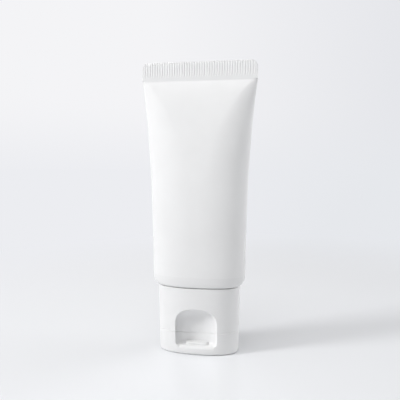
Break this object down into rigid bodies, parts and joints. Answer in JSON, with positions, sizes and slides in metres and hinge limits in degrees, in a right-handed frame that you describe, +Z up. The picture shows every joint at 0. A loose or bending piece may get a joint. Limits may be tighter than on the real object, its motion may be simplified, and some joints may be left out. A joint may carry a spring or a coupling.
{
  "type": "squeeze tube with flip-top cap",
  "caption": "Oval plastic squeeze tube for face cream, sealed flat at one end, standing on a flip-top cap with a thumb recess.",
  "frame": {"origin": "on the surface it stands on, under the middle of the closed lid", "axes": "+Z up along the tube, +X across its width, +Y to the back, where the lid's hinge is; the thumb recess faces -Y"},
  "size_m": [0.047, 0.0184, 0.1181],
  "materials": {
    "sleeve_plastic": "satin",
    "head_plastic": "satin",
    "cream": "soft cream",
    "cap_plastic": "satin"
  },
  "bodies": {
    "tube": {"tube_sleeve": "sleeve_plastic", "tube_head": "head_plastic", "cream_fill": "cream", "cap_base": "cap_plastic", "hinge_film": "cap_plastic"},
    "lid": {"cap_lid": "cap_plastic"}
  },
  "joints": [
    {"name": "lid_hinge", "type": "hinge", "parent": "tube", "child": "lid", "pos_m": [0, 0.00833, 0.0092], "axis": [1, 0, 0], "range_deg": [0, 130], "deforming": ["hinge_film"]}
  ]
}
